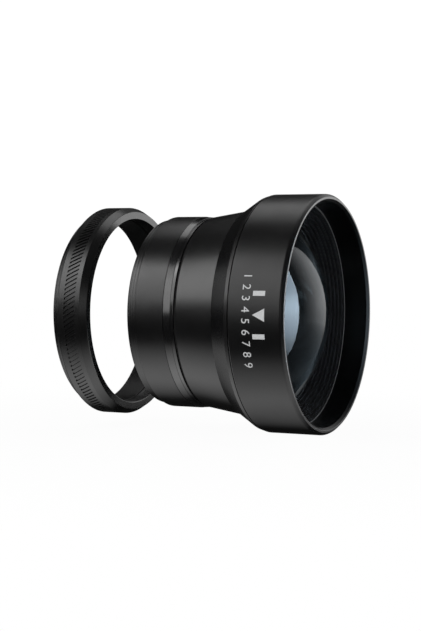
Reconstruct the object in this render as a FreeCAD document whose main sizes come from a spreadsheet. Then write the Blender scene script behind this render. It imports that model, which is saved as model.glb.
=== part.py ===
"""Telephoto conversion lens with its detached adapter ring, in millimetres.

The optical axis is X and the front of the lens points to +X. The origin is where the
axis meets the seat face, the shoulder that the adapter ring's collar closes against.
"""
import FreeCAD, Part
import math
import os
import Sketcher

# Driving sizes of the outside, read off the photograph's profile; radii build up from
# the rear thread's, each by its own step, wall or rise
SIZES = {
    "nose_radius": 26.0,
    "nose_length": 2.9,
    "nose_chamfer": 0.45,
    "seat_width": 0.9,
    "barrel_length": 8.5,
    "barrel_bevel": 0.3,
    "band_width": 2.1,
    "band_taper": 0.2,
    "band_land": 0.9,
    "band_step": 0.1,
    "seal_width": 0.6,
    "seal_drop": 0.3,
    "body_drop": 0.1,
    "body_rear_bevel": 0.25,
    "body_length": 11.8,
    "body_rise": 1.85,
    "flare_step": 0.45,
    "flare_length": 6.5,
    "flare_rise": 3.15,
    "land_width": 1.3,
    "land_rise": 0.45,
    "seam_bevel": 0.15,
    "hood_length": 15.5,
    "hood_wall": 2.05,
    "rim_chamfer": 0.95,
    "mouth_depth": 7.3,
    "mouth_bevel": 0.7,
    # Threads, drawn as rings of V grooves
    "thread_pitch": 0.75,
    "thread_groove": 0.35,
    "thread_depth": 0.3,
    # Clearances between screwed, slipped and cemented pieces
    "fit_gap": 0.05,
    "cement_gap": 0.02,
    "glass_gap": 0.03,
    # Front group and its seat
    "hood_socket_wall": 1.3,
    "sleeve_wall": 1.5,
    "baffle_flange": 1.0,
    "baffle_shoulder": 3.0,
    "baffle_steps": 7,
    "baffle_lip": 0.4,
    "front_curve": 35.0,
    "crown_edge": 1.25,
    "cement_curve": 200.0,
    "flint_edge": 5.8,
    "flint_rear_curve": 150.0,
    "flint_land": 0.5,
    "seat_offset": 0.4,
    "rim_cover": 1.7,
    "gasket_height": 0.6,
    "oring_radius": 0.28,
    "oring_groove_depth": 0.6,
    "oring_groove_width": 0.9,
    "oring_offset": 3.2,
    # Middle of the barrel
    "socket_wall": 1.15,
    "socket_depth": 4.5,
    "socket_step": 1.15,
    "liner_wall": 0.75,
    "liner_end_gap": 0.15,
    "liner_plain_run": 1.0,
    "stop_thickness": 0.5,
    "stop_width": 6.1,
    # Rear barrel's inside and the rear group's cell
    "register_step": 1.0,
    "register_length": 3.0,
    "barrel_sleeve_wall": 1.2,
    "inner_flange_length": 2.0,
    "shim_thickness": 0.15,
    "cell_flange_length": 1.5,
    "cell_flange_width": 1.35,
    "cell_wall": 1.95,
    "cell_front_length": 7.35,
    "cell_lip_length": 1.4,
    "cell_lip_cover": 3.5,
    "cell_tail_length": 6.3,
    "cell_tail_wall": 0.65,
    "lock_ring_length": 1.5,
    "ring_thread_step": 0.6,
    "ring_thread_length": 1.5,
    "rear_ring_width": 2.0,
    "concave_edge": 5.7,
    "concave_front_curve": 90.0,
    "concave_rear_curve": 70.0,
    "spacer_length": 2.6,
    "spacer_width": 2.8,
    "meniscus_front_curve": 68.0,
    "meniscus_rear_curve": 120.0,
    "spanner_slot_count": 2,
    "spanner_slot_width": 1.6,
    "spanner_slot_depth": 0.7,
    "spanner_slot_margin": 0.5,
    # Small screws
    "screw_count": 3,
    "screw_radius": 0.8,
    "screw_head_radius": 1.2,
    "screw_head_length": 0.8,
    "screw_head_margin": 0.3,
    "screw_grip": 1.5,
    "screw_socket_radius": 0.5,
    "screw_socket_depth": 0.5,
    "grub_radius": 0.7,
    "grub_margin": 0.6,
    "grub_socket_radius": 0.35,
    "grub_socket_depth": 0.6,
    # Adapter ring: knurled collar that turns on a sleeve
    "ring_gap": 13.9,
    "collar_length": 8.75,
    "collar_wall": 1.1,
    "collar_rear_bevel": 0.25,
    "collar_cone_length": 1.9,
    "collar_cone_drop": 1.1,
    "collar_corner": 0.17,
    "collar_bore_bevel": 0.2,
    "collar_clearance": 0.25,
    "collar_thread_length": 3.5,
    "knurl_start": 2.05,
    "knurl_length": 3.45,
    "knurl_count": 144,
    "knurl_slant": 30.0,
    "knurl_groove_width": 0.5,
    "knurl_groove_depth": 0.35,
    "running_gap": 0.08,
    "washer_thickness": 0.25,
    "sleeve_clearance": 0.15,
    "sleeve_tube_wall": 0.85,
    "sleeve_flange_length": 1.65,
    "neck_length": 2.55,
    "neck_chamfer": 0.3,
    "neck_step": 0.5,
    "neck_clearance": 0.1,
    "back_ring_width": 0.85,
    "back_recess": 0.5,
}

doc = FreeCAD.newDocument("telephoto_lens")
sheet = doc.addObject("Spreadsheet::Sheet", "Sizes")
for row, (alias, value) in enumerate(SIZES.items(), start=1):
    sheet.set(f"A{row}", alias)
    sheet.set(f"B{row}", str(value))
    sheet.setAlias(f"B{row}", alias)
doc.recompute()


def cell(alias):
    """Expression that reads one size of the sheet."""
    return f"Sizes.{alias}"


def value_of(expression):
    """Present value of an expression."""
    return float(sheet.evalExpression(expression))


def total(*terms):
    """Expression that adds its terms; a term is a size's name or an expression."""
    return " + ".join(f"({t})" if "Sizes." in t else cell(t) for t in terms)


def less(start, *terms):
    """Expression that takes the later terms away from the first."""
    return f"({total(start)}) - ({total(*terms)})"


def sag(curve, radius):
    """Expression for the depth of a spherical surface at a radius."""
    return f"{cell(curve)} - sqrt({cell(curve)}^2 - ({radius})^2)"


# Radii of the outside, built up from the rear thread's
BARREL_RADIUS = total("nose_radius", "seat_width")
BAND_FRONT_RADIUS = less(BARREL_RADIUS, "band_taper")
BODY_REAR_RADIUS = less(BARREL_RADIUS, "body_drop")
SEAL_RADIUS = less(BODY_REAR_RADIUS, "seal_drop")
BODY_FRONT_RADIUS = total(BODY_REAR_RADIUS, "body_rise")
FLARE_END_RADIUS = total(BODY_FRONT_RADIUS, "flare_step")
LAND_RADIUS = total(FLARE_END_RADIUS, "flare_rise")
FLANGE_RADIUS = total(LAND_RADIUS, "land_rise")
HOOD_RADIUS = total(FLANGE_RADIUS, "seam_bevel")

# Radii of the front group and what holds it, inwards from the hood
MOUTH_RADIUS = less(HOOD_RADIUS, "hood_wall")
HOOD_SOCKET_RADIUS = less(HOOD_RADIUS, "hood_socket_wall")
SLEEVE_RADIUS = less(HOOD_SOCKET_RADIUS, "fit_gap")
SLEEVE_BORE = less(SLEEVE_RADIUS, "sleeve_wall")
ORING_GROOVE_RADIUS = less(SLEEVE_RADIUS, "oring_groove_depth")
BAFFLE_BODY_RADIUS = less(SLEEVE_BORE, "fit_gap")
BAFFLE_FLANGE_RADIUS = less(MOUTH_RADIUS, "fit_gap")
ELEMENT_RADIUS = less(SLEEVE_BORE, "baffle_shoulder")
ELEMENT_BORE = total(ELEMENT_RADIUS, "fit_gap")
CLEAR_RADIUS = less(ELEMENT_RADIUS, "rim_cover")

# Radii of the barrels' joint and the rear group, inwards from the barrel
SOCKET_RADIUS = less(BODY_REAR_RADIUS, "socket_wall")
BARREL_SLEEVE_RADIUS = less(SOCKET_RADIUS, "fit_gap")
BARREL_BORE = less(BARREL_SLEEVE_RADIUS, "barrel_sleeve_wall")
MIDDLE_BORE = less(SOCKET_RADIUS, "socket_step")
FLINT_CLEAR_RADIUS = less(MIDDLE_BORE, "flint_land")
LINER_RADIUS = less(MIDDLE_BORE, "fit_gap")
STOP_RADIUS = less(BARREL_SLEEVE_RADIUS, "stop_width")
CELL_FLANGE_RADIUS = less(BARREL_BORE, "fit_gap")
CELL_RADIUS = less(CELL_FLANGE_RADIUS, "cell_flange_width")
CELL_BORE = less(CELL_RADIUS, "cell_wall")
REAR_ELEMENT_RADIUS = less(CELL_BORE, "fit_gap")
CELL_LIP_RADIUS = less(REAR_ELEMENT_RADIUS, "cell_lip_cover")
REAR_CLEAR_RADIUS = less(REAR_ELEMENT_RADIUS, "spacer_width")
RING_THREAD_RADIUS = total(REAR_ELEMENT_RADIUS, "ring_thread_step")
RING_THREAD_BORE = total(RING_THREAD_RADIUS, "fit_gap")
REAR_RING_BORE = less(RING_THREAD_RADIUS, "rear_ring_width")
CELL_TAIL_RADIUS = total(RING_THREAD_BORE, "cell_tail_wall")
REAR_BORE = total(CELL_TAIL_RADIUS, "fit_gap", "fit_gap")
REGISTER_RADIUS = less("nose_radius", "register_step")
REGISTER_BORE = total(REGISTER_RADIUS, "fit_gap")
SCREW_CIRCLE = total(REAR_BORE, "screw_head_margin", "screw_head_radius")

# Radii of the adapter ring, outwards from the thread
COLLAR_BORE = total("nose_radius", "collar_clearance")
TUBE_BORE = total("nose_radius", "sleeve_clearance")
TUBE_RADIUS = total(TUBE_BORE, "sleeve_tube_wall")
CAMERA_THREAD_RADIUS = total(TUBE_RADIUS, "neck_step")
BACK_RING_BORE = total(CAMERA_THREAD_RADIUS, "neck_clearance")
BACK_RING_RADIUS = total(BACK_RING_BORE, "back_ring_width")
COLLAR_RECESS = total(BACK_RING_RADIUS, "fit_gap")
RECESS_FIT_RADIUS = less(COLLAR_RECESS, "running_gap")
COLLAR_RADIUS = total(COLLAR_RECESS, "collar_wall")
COLLAR_FACE_RADIUS = less(COLLAR_RADIUS, "collar_cone_drop")

# Places along the axis, from the seat face forwards
SEAL_X = total("barrel_length", "band_width", "band_land")
BODY_X = total(SEAL_X, "seal_width")
FLARE_X = total(BODY_X, "body_length")
FLANGE_X = total(FLARE_X, "flare_length")
RIM_X = total(FLANGE_X, "hood_length")
BAFFLE_FRONT_X = less(RIM_X, "mouth_depth")
SLEEVE_FRONT_X = less(BAFFLE_FRONT_X, "baffle_flange")
LENS_SEAT_X = less(FLARE_X, "seat_offset")
CEMENT_EDGE_X = total(LENS_SEAT_X, "flint_edge")
CROWN_EDGE_X = total(CEMENT_EDGE_X, "crown_edge")
VERTEX_X = total(CROWN_EDGE_X, sag("front_curve", ELEMENT_RADIUS))
GLASS_RIM_X = less(VERTEX_X, sag("front_curve", CLEAR_RADIUS))
GASKET_FRONT_X = total(GLASS_RIM_X, "gasket_height")
BAFFLE_REAR_X = total(GASKET_FRONT_X, "fit_gap")
SOCKET_END_X = total(BODY_X, "socket_depth")
STOP_X = less(SOCKET_END_X, "stop_thickness", "fit_gap")
BARREL_SLEEVE_END_X = less(STOP_X, "fit_gap")
INNER_FLANGE_END_X = total("register_length", "inner_flange_length")
CELL_FLANGE_X = total(INNER_FLANGE_END_X, "shim_thickness")
CELL_X = less(CELL_FLANGE_X, "cell_tail_length")
LOCK_RING_X = total(CELL_FLANGE_X, "cell_flange_length", "fit_gap")
GRUB_X = total(LOCK_RING_X, "lock_ring_length", "grub_margin", "grub_radius")
CELL_FRONT_X = total(CELL_FLANGE_X, "cell_flange_length", "cell_front_length")
CELL_LIP_X = less(CELL_FRONT_X, "cell_lip_length")
CONCAVE_REAR_X = less(CELL_LIP_X, "concave_edge")
SPACER_X = less(CONCAVE_REAR_X, "spacer_length")
MENISCUS_REAR_X = total(CELL_X, "ring_thread_length")
MENISCUS_EDGE_X = less(
    total(SPACER_X, sag("meniscus_front_curve", REAR_CLEAR_RADIUS)),
    sag("meniscus_front_curve", REAR_ELEMENT_RADIUS))
SCREW_LENGTH = total("nose_length", "register_length", "screw_grip")

# Places of the adapter ring; those of its pieces count from the collar's back end
COLLAR_X = f"-({total('ring_gap', 'collar_length')})"
NECK_X = f"-({total('ring_gap', 'collar_length', 'neck_length')})"
COLLAR_SHOULDER = less("collar_length", "collar_thread_length")
WASHER_START = less(COLLAR_SHOULDER, "running_gap", "washer_thickness")
FLANGE_FRONT = less(WASHER_START, "running_gap")
FLANGE_REAR = less(FLANGE_FRONT, "sleeve_flange_length")
BACK_RING_LENGTH = less(FLANGE_REAR, "running_gap", "back_recess")


def origin_feature(body, role):
    """One of a body's own origin planes or axes, found by its role."""
    for feature in body.Origin.OriginFeatures:
        if feature.Role == role:
            return feature
    raise RuntimeError(f"{body.Label} has no {role}")


def flat_sketch(body, name, role):
    """Empty sketch on one of the body's own origin planes."""
    sketch = body.newObject("Sketcher::SketchObject", name)
    sketch.AttachmentSupport = [(origin_feature(body, role), "")]
    sketch.MapMode = "FlatFace"
    sketch.Visibility = False
    return sketch


def pin_point(sketch, edge, point, name, along, across):
    """Holds a point of the sketch at two expressions measured from its origin."""
    for kind, suffix, axis, expression in (
            ("DistanceX", "along", -2, along),
            ("DistanceY", "across", -1, across)):
        if expression == "0":
            sketch.addConstraint(Sketcher.Constraint("PointOnObject", edge, point, axis))
            continue
        value = value_of(expression)
        index = sketch.addConstraint(Sketcher.Constraint(kind, -1, 1, edge, point, value))
        sketch.renameConstraint(index, f"{name}_{suffix}")
        sketch.setExpression(f"Constraints.{name}_{suffix}", expression)


def draw_outline(sketch, corners):
    """Closed outline of straight edges, each corner bound to the sheet."""
    points = []
    for along, across in corners:
        x = value_of(along)
        y = value_of(across)
        points.append(FreeCAD.Vector(x, y, 0))
    count = len(points)
    for i in range(count):
        sketch.addGeometry(Part.LineSegment(points[i], points[(i + 1) % count]), False)
    for i in range(count):
        sketch.addConstraint(Sketcher.Constraint("Coincident", i, 2, (i + 1) % count, 1))
    for i, (along, across) in enumerate(corners):
        pin_point(sketch, i, 1, f"corner{i}", along, across)


def turned(label, place_x, corners):
    """Body turned about the axis from its half section; x counts from its back end."""
    body = doc.addObject("PartDesign::Body", label)
    body.setExpression("Placement.Base.x", place_x)
    section = flat_sketch(body, f"{label}_section", "XY_Plane")
    draw_outline(section, corners)
    turning = body.newObject("PartDesign::Revolution", f"{label}_turning")
    turning.Profile = section
    turning.ReferenceAxis = (section, ["H_Axis"])
    turning.Angle = 360
    doc.recompute()
    return body


def plain_ring(label, place_x, length, bore, radius):
    """Turned body of a rectangular section."""
    return turned(label, place_x, [("0", bore), (length, bore), (length, radius), ("0", radius)])


def add_pocket(body, name, sketch, depth, backwards):
    """Pocket of a bound depth, checked to take material away."""
    before = body.Shape.Volume
    pocket = body.newObject("PartDesign::Pocket", name)
    pocket.Profile = sketch
    pocket.setExpression("Length", depth)
    pocket.Reversed = backwards
    doc.recompute()
    if not pocket.Shape.Volume < before:
        raise RuntimeError(f"{name} cuts nothing")
    return pocket


def repeat_around(body, name, features, count):
    """Repeats features evenly around the axis, checked to act on every place."""
    before = body.Shape.Volume
    pattern = body.newObject("PartDesign::PolarPattern", name)
    pattern.Originals = features
    pattern.Axis = (origin_feature(body, "X_Axis"), [""])
    pattern.Angle = 360
    pattern.setExpression("Occurrences", cell(count))
    body.Tip = pattern
    doc.recompute()
    if not pattern.Shape.Volume < before:
        raise RuntimeError(f"{name} repeats nothing")


def axial_hole(body, name, start, radius, depth):
    """Round pocket along the axis, on the fastening screws' circle."""
    sketch = flat_sketch(body, f"{name}_circle", "YZ_Plane")
    sketch.setExpression("AttachmentOffset.Base.z", start)
    centre = FreeCAD.Vector(0, value_of(SCREW_CIRCLE), 0)
    sketch.addGeometry(Part.Circle(centre, FreeCAD.Vector(0, 0, 1), SIZES["screw_radius"]), False)
    pin_point(sketch, 0, 3, "centre", "0", SCREW_CIRCLE)
    index = sketch.addConstraint(Sketcher.Constraint("Radius", 0, SIZES["screw_radius"]))
    sketch.renameConstraint(index, "radius")
    sketch.setExpression("Constraints.radius", radius)
    return add_pocket(body, name, sketch, depth, True)


def radial_hole(body, name, along, radius, depth):
    """Round pocket from the axis outwards, through the wall over it."""
    sketch = flat_sketch(body, f"{name}_circle", "XY_Plane")
    centre = FreeCAD.Vector(value_of(along), 0, 0)
    sketch.addGeometry(Part.Circle(centre, FreeCAD.Vector(0, 0, 1), SIZES["grub_radius"]), False)
    pin_point(sketch, 0, 3, "centre", along, "0")
    index = sketch.addConstraint(Sketcher.Constraint("Radius", 0, SIZES["grub_radius"]))
    sketch.renameConstraint(index, "radius")
    sketch.setExpression("Constraints.radius", radius)
    return add_pocket(body, name, sketch, depth, True)


def spanner_slots(body, start, bore, radius, backwards):
    """Slots across a ring's face for a pin spanner."""
    low = less(bore, "spanner_slot_margin")
    high = total(radius, "spanner_slot_margin")
    sketch = flat_sketch(body, f"{body.Name}_slot_outline", "YZ_Plane")
    sketch.setExpression("AttachmentOffset.Base.z", start)
    sketch.setExpression("AttachmentOffset.Base.x", f"-({cell('spanner_slot_width')}) / 2")
    width = cell("spanner_slot_width")
    draw_outline(sketch, [("0", low), (width, low), (width, high), ("0", high)])
    slot = add_pocket(body, f"{body.Name}_slot", sketch, cell("spanner_slot_depth"), backwards)
    repeat_around(body, f"{body.Name}_slots", [slot], "spanner_slot_count")


def groove_corners(start, count, radius, depth):
    """Corners of a row of V grooves along +X in a turned face; depth may be negative."""
    corners = []
    for i in range(count):
        first = f"{start} + {cell('thread_pitch')} * {i}"
        corners.append((first, radius))
        corners.append((f"{first} + {cell('thread_groove')} / 2", f"{radius} - ({depth})"))
        corners.append((f"{first} + {cell('thread_groove')}", radius))
    return corners


def turns_in(length):
    """Whole thread turns that fit in a length."""
    return max(1, int(length / SIZES["thread_pitch"]))


def axis_cylinder(name, place_x, length, radius):
    """Cylinder along the optical axis."""
    solid = doc.addObject("Part::Cylinder", name)
    solid.Placement = FreeCAD.Placement(FreeCAD.Vector(), FreeCAD.Rotation(FreeCAD.Vector(0, 1, 0), 90))
    solid.setExpression("Placement.Base.x", place_x)
    solid.setExpression("Height", length)
    solid.setExpression("Radius", radius)
    return solid


def axis_ball(name, centre_x, radius):
    """Sphere whose centre lies on the optical axis."""
    solid = doc.addObject("Part::Sphere", name)
    solid.setExpression("Placement.Base.x", centre_x)
    solid.setExpression("Radius", radius)
    return solid


def ground_lens(label, radius, rear_x, front_x, rear, front):
    """Glass element between two spherical faces.

    Each face is (form, curve, reach): a convex face bulges out past its edge place, and
    a hollow one dips in from it; reach is the radius where the face meets that place.
    """
    rear_form, rear_curve, rear_reach = rear
    front_form, front_curve, front_reach = front
    rear_sag = sag(rear_curve, rear_reach)
    front_sag = sag(front_curve, front_reach)
    start = less(rear_x, rear_sag) if rear_form == "convex" else rear_x
    end = total(front_x, front_sag) if front_form == "convex" else front_x
    blank = axis_cylinder(f"{label}_blank", start, less(end, start), radius)
    common, hollow = [blank], []
    if rear_form == "convex":
        centre = total(start, rear_curve)
        common.append(axis_ball(f"{label}_rear_ball", centre, cell(rear_curve)))
    else:
        centre = less(total(rear_x, rear_sag), rear_curve)
        hollow.append(axis_ball(f"{label}_rear_ball", centre, cell(rear_curve)))
    if front_form == "convex":
        centre = less(end, front_curve)
        common.append(axis_ball(f"{label}_front_ball", centre, cell(front_curve)))
    else:
        centre = total(less(front_x, front_sag), front_curve)
        hollow.append(axis_ball(f"{label}_front_ball", centre, cell(front_curve)))
    solid = blank
    if len(common) > 1:
        solid = doc.addObject("Part::MultiCommon", f"{label}_common")
        solid.Shapes = common
    for i, ball in enumerate(hollow):
        cut = doc.addObject("Part::Cut", f"{label}_hollow{i}")
        cut.Base = solid
        cut.Tool = ball
        solid = cut
    solid.Label = label
    doc.recompute()
    return solid


def screw_angles():
    """Angles of the screws around the axis, in degrees from the top."""
    count = int(SIZES["screw_count"])
    return [360.0 * i / count for i in range(count)]


def around(angle, radius):
    """Expressions for the y and z of a point at an angle from the top."""
    turn = math.radians(angle)
    return f"{-math.sin(turn):.9f} * ({radius})", f"{math.cos(turn):.9f} * ({radius})"


def place_around(solid, x, angle, radius):
    """Binds a solid's place to a point at an angle and radius around the axis."""
    y, z = around(angle, radius)
    solid.setExpression("Placement.Base.x", x)
    solid.setExpression("Placement.Base.y", y)
    solid.setExpression("Placement.Base.z", z)


def cut_from_all(label, solids, tools):
    """One node of several like solids with their sockets cut."""
    joined = doc.addObject("Part::MultiFuse", f"{label}_solids")
    joined.Shapes = solids
    sockets = doc.addObject("Part::MultiFuse", f"{label}_sockets")
    sockets.Shapes = tools
    cut = doc.addObject("Part::Cut", f"{label}_cut")
    cut.Base = joined
    cut.Tool = sockets
    cut.Label = label
    doc.recompute()
    return cut


def hood_shell():
    """Wide front tube around the bell that shades the front glass."""
    step = total(less(SLEEVE_FRONT_X, FLANGE_X), "fit_gap")
    return turned("hood_shell", FLANGE_X, [
        ("0", HOOD_SOCKET_RADIUS),
        (step, HOOD_SOCKET_RADIUS),
        (step, MOUTH_RADIUS),
        (less("hood_length", "mouth_bevel"), MOUTH_RADIUS),
        (cell("hood_length"), total(MOUTH_RADIUS, "mouth_bevel")),
        (cell("hood_length"), less(HOOD_RADIUS, "rim_chamfer")),
        (less("hood_length", "rim_chamfer"), HOOD_RADIUS),
        (cell("seam_bevel"), HOOD_RADIUS),
        ("0", FLANGE_RADIUS),
    ])


def hood_seal_ring():
    """Rubber ring in the casing's groove that takes up the play of the hood."""
    ring = doc.addObject("Part::Torus", "hood_seal_ring")
    ring.Placement = FreeCAD.Placement(FreeCAD.Vector(), FreeCAD.Rotation(FreeCAD.Vector(0, 1, 0), 90))
    groove_middle = f"{total(FLANGE_X, 'oring_offset')} + {cell('oring_groove_width')} / 2"
    ring.setExpression("Placement.Base.x", groove_middle)
    ring.setExpression("Radius1", total(ORING_GROOVE_RADIUS, "oring_radius", "cement_gap"))
    ring.setExpression("Radius2", cell("oring_radius"))
    doc.recompute()
    return ring


def baffle_ring():
    """Threaded ring that holds the front glass, stepped inside to trap stray light."""
    length = less(BAFFLE_FRONT_X, BAFFLE_REAR_X)
    first = total(CLEAR_RADIUS, "baffle_lip")
    last = less(BAFFLE_FLANGE_RADIUS, "baffle_lip")
    flange = total(less(SLEEVE_FRONT_X, BAFFLE_REAR_X), "fit_gap")
    tread_end = total(flange, "baffle_lip")
    risers = int(SIZES["baffle_steps"]) - 1
    corners = []
    for i in range(risers):
        level = f"{first} + (({last}) - ({first})) * {i} / {risers}"
        corners.append((f"({tread_end}) * {i} / {risers}" if i else "0", level))
        corners.append((f"({tread_end}) * {i + 1} / {risers}", level))
    corners.append((tread_end, last))
    corners.append((length, last))
    corners.append((length, BAFFLE_FLANGE_RADIUS))
    corners.append((flange, BAFFLE_FLANGE_RADIUS))
    corners.append((flange, BAFFLE_BODY_RADIUS))
    corners.append(("0", BAFFLE_BODY_RADIUS))
    return turned("baffle_ring", BAFFLE_REAR_X, corners)


def glass_gasket():
    """Wedge of rubber between the front glass and the ring that holds it."""
    start = total(CROWN_EDGE_X, "glass_gap")
    front = less(GASKET_FRONT_X, start)
    return turned("glass_gasket", start, [
        (less(GLASS_RIM_X, CROWN_EDGE_X), CLEAR_RADIUS),
        (front, CLEAR_RADIUS),
        (front, ELEMENT_RADIUS),
        ("0", ELEMENT_RADIUS),
    ])


def front_crown_lens():
    """Domed front glass."""
    return ground_lens(
        "front_crown_lens", ELEMENT_RADIUS, CEMENT_EDGE_X, CROWN_EDGE_X,
        ("convex", "cement_curve", ELEMENT_RADIUS),
        ("convex", "front_curve", ELEMENT_RADIUS))


def front_flint_lens():
    """Hollow glass cemented behind the front one."""
    return ground_lens(
        "front_flint_lens", ELEMENT_RADIUS, LENS_SEAT_X, less(CEMENT_EDGE_X, "cement_gap"),
        ("hollow", "flint_rear_curve", FLINT_CLEAR_RADIUS),
        ("hollow", "cement_curve", ELEMENT_RADIUS))


def main_casing():
    """Tapered middle barrel, flared to the hood, that carries the front glass."""
    seat = less(LENS_SEAT_X, BODY_X)
    step = less(GASKET_FRONT_X, BODY_X)
    sleeve_front = less(SLEEVE_FRONT_X, BODY_X)
    flange = less(FLANGE_X, BODY_X)
    groove_rear = total(flange, "oring_offset")
    groove_front = total(groove_rear, "oring_groove_width")
    return turned("main_casing", BODY_X, [
        ("0", SOCKET_RADIUS),
        (cell("socket_depth"), SOCKET_RADIUS),
        (cell("socket_depth"), MIDDLE_BORE),
        (seat, MIDDLE_BORE),
        (seat, ELEMENT_BORE),
        (step, ELEMENT_BORE),
        (step, SLEEVE_BORE),
        (sleeve_front, SLEEVE_BORE),
        (sleeve_front, SLEEVE_RADIUS),
        (groove_front, SLEEVE_RADIUS),
        (groove_front, ORING_GROOVE_RADIUS),
        (groove_rear, ORING_GROOVE_RADIUS),
        (groove_rear, SLEEVE_RADIUS),
        (flange, SLEEVE_RADIUS),
        (flange, FLANGE_RADIUS),
        (less(flange, "land_width"), LAND_RADIUS),
        (cell("body_length"), FLARE_END_RADIUS),
        (cell("body_length"), BODY_FRONT_RADIUS),
        (cell("body_rear_bevel"), BODY_REAR_RADIUS),
        ("0", less(BODY_REAR_RADIUS, "body_rear_bevel")),
    ])


def light_trap_liner():
    """Blackened tube behind the front group, grooved inside against stray light."""
    length = less(less(LENS_SEAT_X, SOCKET_END_X), "liner_end_gap")
    bore = less(LINER_RADIUS, "liner_wall")
    count = turns_in(value_of(length) - SIZES["liner_plain_run"])
    grooves = groove_corners(cell("thread_groove"), count, bore, f"-({cell('thread_depth')})")
    corners = [("0", bore)] + grooves
    corners += [(length, bore), (length, LINER_RADIUS), ("0", LINER_RADIUS)]
    return turned("light_trap_liner", SOCKET_END_X, corners)


def stop_plate():
    """Thin fixed stop, clamped where the two barrels meet."""
    return plain_ring(
        "stop_plate", STOP_X, cell("stop_thickness"), STOP_RADIUS, BARREL_SLEEVE_RADIUS)


def rear_barrel():
    """Rear tube with the seat face, the inner flange and the sleeve into the casing."""
    web = total("register_length", "fit_gap")
    body = turned("rear_barrel", "0", [
        ("0", REGISTER_BORE),
        (web, REGISTER_BORE),
        (web, REAR_BORE),
        (INNER_FLANGE_END_X, REAR_BORE),
        (INNER_FLANGE_END_X, BARREL_BORE),
        (BARREL_SLEEVE_END_X, BARREL_BORE),
        (BARREL_SLEEVE_END_X, BARREL_SLEEVE_RADIUS),
        (cell("barrel_length"), BARREL_SLEEVE_RADIUS),
        (cell("barrel_length"), BARREL_RADIUS),
        (cell("barrel_bevel"), BARREL_RADIUS),
        ("0", less(BARREL_RADIUS, "barrel_bevel")),
    ])
    tapped = axial_hole(
        body, "tapped_hole", web, total("screw_radius", "fit_gap"), less(INNER_FLANGE_END_X, web))
    repeat_around(body, "tapped_holes", [tapped], "screw_count")
    centring = radial_hole(
        body, "centring_hole", GRUB_X, total("grub_radius", "fit_gap"),
        total(BARREL_SLEEVE_RADIUS, "fit_gap"))
    repeat_around(body, "centring_holes", [centring], "screw_count")
    return body


def trim_band():
    """Bevelled bright band around the joint of the two barrels, with a narrow land in front."""
    bore = total(BARREL_SLEEVE_RADIUS, "fit_gap")
    front = total("band_width", "band_land")
    land = less(BAND_FRONT_RADIUS, "band_step")
    return turned("trim_band", cell("barrel_length"), [
        ("0", bore),
        (front, bore),
        (front, land),
        (cell("band_width"), land),
        (cell("band_width"), BAND_FRONT_RADIUS),
        ("0", BARREL_RADIUS),
    ])


def joint_seal():
    """Rubber seal in the groove between the band and the tapered barrel."""
    return plain_ring(
        "joint_seal", SEAL_X, cell("seal_width"),
        total(BARREL_SLEEVE_RADIUS, "fit_gap"), SEAL_RADIUS)


def mount_ring():
    """Rear ring with the male filter thread and the register into the rear barrel."""
    count = turns_in(SIZES["nose_length"] - SIZES["nose_chamfer"])
    start = f"{cell('nose_chamfer')} + ({cell('thread_pitch')} - {cell('thread_groove')}) / 2"
    thread = groove_corners(start, count, cell("nose_radius"), cell("thread_depth"))
    length = total("nose_length", "register_length")
    corners = [
        ("0", REAR_BORE),
        (length, REAR_BORE),
        (length, REGISTER_RADIUS),
        (cell("nose_length"), REGISTER_RADIUS),
        (cell("nose_length"), cell("nose_radius")),
    ]
    corners += reversed(thread)
    corners.append((cell("nose_chamfer"), cell("nose_radius")))
    corners.append(("0", less("nose_radius", "nose_chamfer")))
    body = turned("mount_ring", f"-({cell('nose_length')})", corners)
    recess = axial_hole(
        body, "head_recess", "0", total("screw_head_radius", "fit_gap"), cell("screw_head_length"))
    clearance = axial_hole(
        body, "clearance_hole", "0", total("screw_radius", "fit_gap"), length)
    repeat_around(body, "screw_holes", [recess, clearance], "screw_count")
    return body


def mount_screws():
    """Screws from behind that hold the mount ring to the rear barrel."""
    back = f"-({cell('nose_length')})"
    circle = SCREW_CIRCLE
    solids, sockets = [], []
    for i, angle in enumerate(screw_angles()):
        shank = axis_cylinder(f"shank{i}", back, SCREW_LENGTH, cell("screw_radius"))
        head = axis_cylinder(f"head{i}", back, cell("screw_head_length"), cell("screw_head_radius"))
        socket = doc.addObject("Part::Prism", f"socket{i}")
        socket.Placement = head.Placement
        socket.setExpression("Circumradius", cell("screw_socket_radius"))
        socket.setExpression("Height", cell("screw_socket_depth"))
        for solid in (shank, head, socket):
            place_around(solid, back, angle, circle)
        solids += [shank, head]
        sockets.append(socket)
    return cut_from_all("mount_screws", solids, sockets)


def centring_screws():
    """Grub screws under the trim band that centre the rear group's cell."""
    tip = total(CELL_RADIUS, "cement_gap")
    top = less(BARREL_SLEEVE_RADIUS, "fit_gap")
    solids, sockets = [], []
    for i, angle in enumerate(screw_angles()):
        turn = FreeCAD.Rotation(FreeCAD.Vector(1, 0, 0), angle)
        screw = doc.addObject("Part::Cylinder", f"grub{i}")
        screw.Placement = FreeCAD.Placement(FreeCAD.Vector(), turn)
        screw.setExpression("Radius", cell("grub_radius"))
        screw.setExpression("Height", less(top, tip))
        place_around(screw, GRUB_X, angle, tip)
        socket = doc.addObject("Part::Prism", f"grub_socket{i}")
        socket.Placement = FreeCAD.Placement(FreeCAD.Vector(), turn)
        socket.setExpression("Circumradius", cell("grub_socket_radius"))
        socket.setExpression("Height", cell("grub_socket_depth"))
        place_around(socket, GRUB_X, angle, less(top, "grub_socket_depth"))
        solids.append(screw)
        sockets.append(socket)
    return cut_from_all("centring_screws", solids, sockets)


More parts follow.
